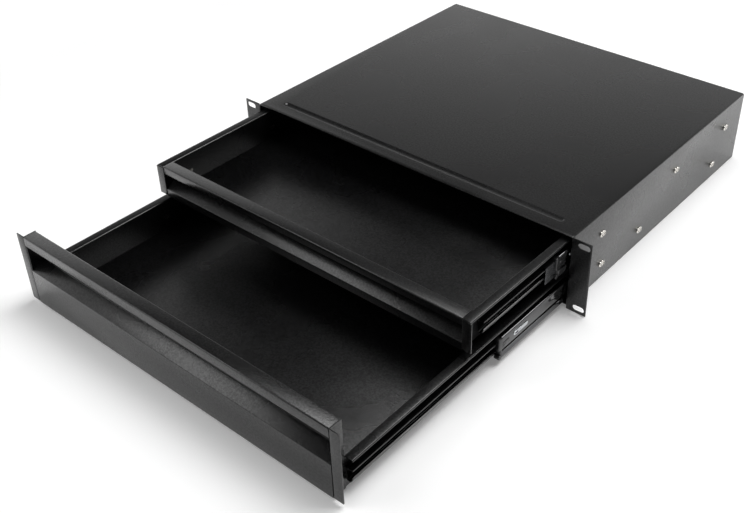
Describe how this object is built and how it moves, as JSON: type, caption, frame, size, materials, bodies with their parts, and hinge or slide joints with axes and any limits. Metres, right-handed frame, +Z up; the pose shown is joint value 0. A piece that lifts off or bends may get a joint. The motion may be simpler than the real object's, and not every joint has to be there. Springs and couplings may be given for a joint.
{
  "type": "sliding rack drawer",
  "caption": "Steel rack housing with slotted ears, a full-front lower drawer and a shallower inner drawer above it, both running on telescopic ball-bearing slides.",
  "frame": {"origin": "middle of the four ear slots, on the ears' front face", "axes": "+X to the right as seen from the front, +Y back into the rack, +Z up"},
  "size_m": [0.4826, 0.7156, 0.0882],
  "materials": {
    "black_powder_coat": "black fine-texture powder coat, satin",
    "black_rail_coat": "black electrophoretic coat, semi-gloss",
    "nickel_screws": "bright nickel plate",
    "zinc_cage": "zinc-plated strip",
    "bearing_balls": "polished steel",
    "black_nylon": "moulded nylon"
  },
  "bodies": {
    "housing": {"housing_shell": "black_powder_coat", "rear_panel": "black_powder_coat", "slide_screws_left": "nickel_screws", "slide_screws_right": "nickel_screws", "lower_left_outer_rail": "black_rail_coat", "lower_right_outer_rail": "black_rail_coat", "upper_left_outer_rail": "black_rail_coat", "upper_right_outer_rail": "black_rail_coat"},
    "lower_drawer": {"lower_tray": "black_powder_coat", "lower_front_panel": "black_powder_coat", "lower_left_end_bracket": "black_powder_coat", "lower_left_side": "black_powder_coat", "lower_left_inner_rail": "black_rail_coat", "lower_left_rail_screws": "nickel_screws", "lower_left_lever_pin": "nickel_screws", "lower_right_end_bracket": "black_powder_coat", "lower_right_side": "black_powder_coat", "lower_right_inner_rail": "black_rail_coat", "lower_right_rail_screws": "nickel_screws", "lower_right_lever_pin": "nickel_screws"},
    "lower_left_middle_slide": {"lower_left_mid_rail": "black_rail_coat", "lower_left_end_clip": "black_nylon"},
    "lower_left_outer_ball_cage": {"lower_left_outer_cage": "zinc_cage", "lower_left_outer_balls": "bearing_balls"},
    "lower_left_inner_ball_cage": {"lower_left_inner_cage": "zinc_cage", "lower_left_inner_balls": "bearing_balls"},
    "lower_left_lever": {"lower_left_release_lever": "black_nylon"},
    "lower_right_middle_slide": {"lower_right_mid_rail": "black_rail_coat", "lower_right_end_clip": "black_nylon"},
    "lower_right_outer_ball_cage": {"lower_right_outer_cage": "zinc_cage", "lower_right_outer_balls": "bearing_balls"},
    "lower_right_inner_ball_cage": {"lower_right_inner_cage": "zinc_cage", "lower_right_inner_balls": "bearing_balls"},
    "lower_right_lever": {"lower_right_release_lever": "black_nylon"},
    "upper_drawer": {"upper_tray": "black_powder_coat", "upper_front_panel": "black_powder_coat", "upper_left_side": "black_powder_coat", "upper_left_inner_rail": "black_rail_coat", "upper_left_rail_screws": "nickel_screws", "upper_left_lever_pin": "nickel_screws", "upper_right_side": "black_powder_coat", "upper_right_inner_rail": "black_rail_coat", "upper_right_rail_screws": "nickel_screws", "upper_right_lever_pin": "nickel_screws"},
    "upper_left_middle_slide": {"upper_left_mid_rail": "black_rail_coat", "upper_left_end_clip": "black_nylon"},
    "upper_left_outer_ball_cage": {"upper_left_outer_cage": "zinc_cage", "upper_left_outer_balls": "bearing_balls"},
    "upper_left_inner_ball_cage": {"upper_left_inner_cage": "zinc_cage", "upper_left_inner_balls": "bearing_balls"},
    "upper_left_lever": {"upper_left_release_lever": "black_nylon"},
    "upper_right_middle_slide": {"upper_right_mid_rail": "black_rail_coat", "upper_right_end_clip": "black_nylon"},
    "upper_right_outer_ball_cage": {"upper_right_outer_cage": "zinc_cage", "upper_right_outer_balls": "bearing_balls"},
    "upper_right_inner_ball_cage": {"upper_right_inner_cage": "zinc_cage", "upper_right_inner_balls": "bearing_balls"},
    "upper_right_lever": {"upper_right_release_lever": "black_nylon"}
  },
  "joints": [
    {"name": "lower_drawer_slide", "type": "slide", "parent": "housing", "child": "lower_drawer", "axis": [0, -1, 0], "range_m": [-0.3323, 0.0177]},
    {"name": "upper_drawer_slide", "type": "slide", "parent": "housing", "child": "upper_drawer", "axis": [0, -1, 0], "range_m": [-0.1753, 0.00943]},
    {"name": "lower_left_middle_slide_travel", "type": "slide", "parent": "housing", "child": "lower_left_middle_slide", "axis": [0, -1, 0], "range_m": [-0.1176, 0.00636]},
    {"name": "lower_left_outer_ball_cage_travel", "type": "slide", "parent": "housing", "child": "lower_left_outer_ball_cage", "axis": [0, -1, 0], "range_m": [-0.05885, 0.00323]},
    {"name": "lower_left_inner_ball_cage_travel", "type": "slide", "parent": "housing", "child": "lower_left_inner_ball_cage", "axis": [0, -1, 0], "range_m": [-0.225, 0.01208]},
    {"name": "lower_left_lever_pivot", "type": "hinge", "parent": "lower_drawer", "child": "lower_left_lever", "pos_m": [-0.2074, -0.0823, -0.02445], "axis": [1, 0, 0], "range_deg": [-6, 6], "stiffness_Nm_per_rad": 0.002},
    {"name": "lower_right_middle_slide_travel", "type": "slide", "parent": "housing", "child": "lower_right_middle_slide", "axis": [0, -1, 0], "range_m": [-0.1176, 0.00636]},
    {"name": "lower_right_outer_ball_cage_travel", "type": "slide", "parent": "housing", "child": "lower_right_outer_ball_cage", "axis": [0, -1, 0], "range_m": [-0.05885, 0.00323]},
    {"name": "lower_right_inner_ball_cage_travel", "type": "slide", "parent": "housing", "child": "lower_right_inner_ball_cage", "axis": [0, -1, 0], "range_m": [-0.225, 0.01208]},
    {"name": "lower_right_lever_pivot", "type": "hinge", "parent": "lower_drawer", "child": "lower_right_lever", "pos_m": [0.2074, -0.0823, -0.02445], "axis": [1, 0, 0], "range_deg": [-6, 6], "stiffness_Nm_per_rad": 0.002},
    {"name": "upper_left_middle_slide_travel", "type": "slide", "parent": "housing", "child": "upper_left_middle_slide", "axis": [0, -1, 0], "range_m": [-0.0431, 0.00239]},
    {"name": "upper_left_outer_ball_cage_travel", "type": "slide", "parent": "housing", "child": "upper_left_outer_ball_cage", "axis": [0, -1, 0], "range_m": [-0.0216, 0.00125]},
    {"name": "upper_left_inner_ball_cage_travel", "type": "slide", "parent": "housing", "child": "upper_left_inner_ball_cage", "axis": [0, -1, 0], "range_m": [-0.1092, 0.00591]},
    {"name": "upper_left_lever_pivot", "type": "hinge", "parent": "upper_drawer", "child": "upper_left_lever", "pos_m": [-0.2074, 0.0918, 0.01635], "axis": [1, 0, 0], "range_deg": [-6, 6], "stiffness_Nm_per_rad": 0.002},
    {"name": "upper_right_middle_slide_travel", "type": "slide", "parent": "housing", "child": "upper_right_middle_slide", "axis": [0, -1, 0], "range_m": [-0.0431, 0.00239]},
    {"name": "upper_right_outer_ball_cage_travel", "type": "slide", "parent": "housing", "child": "upper_right_outer_ball_cage", "axis": [0, -1, 0], "range_m": [-0.0216, 0.00125]},
    {"name": "upper_right_inner_ball_cage_travel", "type": "slide", "parent": "housing", "child": "upper_right_inner_ball_cage", "axis": [0, -1, 0], "range_m": [-0.1092, 0.00591]},
    {"name": "upper_right_lever_pivot", "type": "hinge", "parent": "upper_drawer", "child": "upper_right_lever", "pos_m": [0.2074, 0.0918, 0.01635], "axis": [1, 0, 0], "range_deg": [-6, 6], "stiffness_Nm_per_rad": 0.002}
  ],
  "couplings": [
    {"joint": "upper_drawer_slide", "follows": "lower_drawer_slide", "ratio": 0.52723},
    {"joint": "lower_left_middle_slide_travel", "follows": "lower_drawer_slide", "ratio": 0.3536},
    {"joint": "lower_left_outer_ball_cage_travel", "follows": "lower_drawer_slide", "ratio": 0.1768},
    {"joint": "lower_left_inner_ball_cage_travel", "follows": "lower_drawer_slide", "ratio": 0.6768},
    {"joint": "lower_right_middle_slide_travel", "follows": "lower_drawer_slide", "ratio": 0.3536},
    {"joint": "lower_right_outer_ball_cage_travel", "follows": "lower_drawer_slide", "ratio": 0.1768},
    {"joint": "lower_right_inner_ball_cage_travel", "follows": "lower_drawer_slide", "ratio": 0.6768},
    {"joint": "upper_left_middle_slide_travel", "follows": "lower_drawer_slide", "ratio": 0.1294},
    {"joint": "upper_left_outer_ball_cage_travel", "follows": "lower_drawer_slide", "ratio": 0.0647},
    {"joint": "upper_left_inner_ball_cage_travel", "follows": "lower_drawer_slide", "ratio": 0.32832},
    {"joint": "upper_right_middle_slide_travel", "follows": "lower_drawer_slide", "ratio": 0.1294},
    {"joint": "upper_right_outer_ball_cage_travel", "follows": "lower_drawer_slide", "ratio": 0.0647},
    {"joint": "upper_right_inner_ball_cage_travel", "follows": "lower_drawer_slide", "ratio": 0.32832}
  ]
}
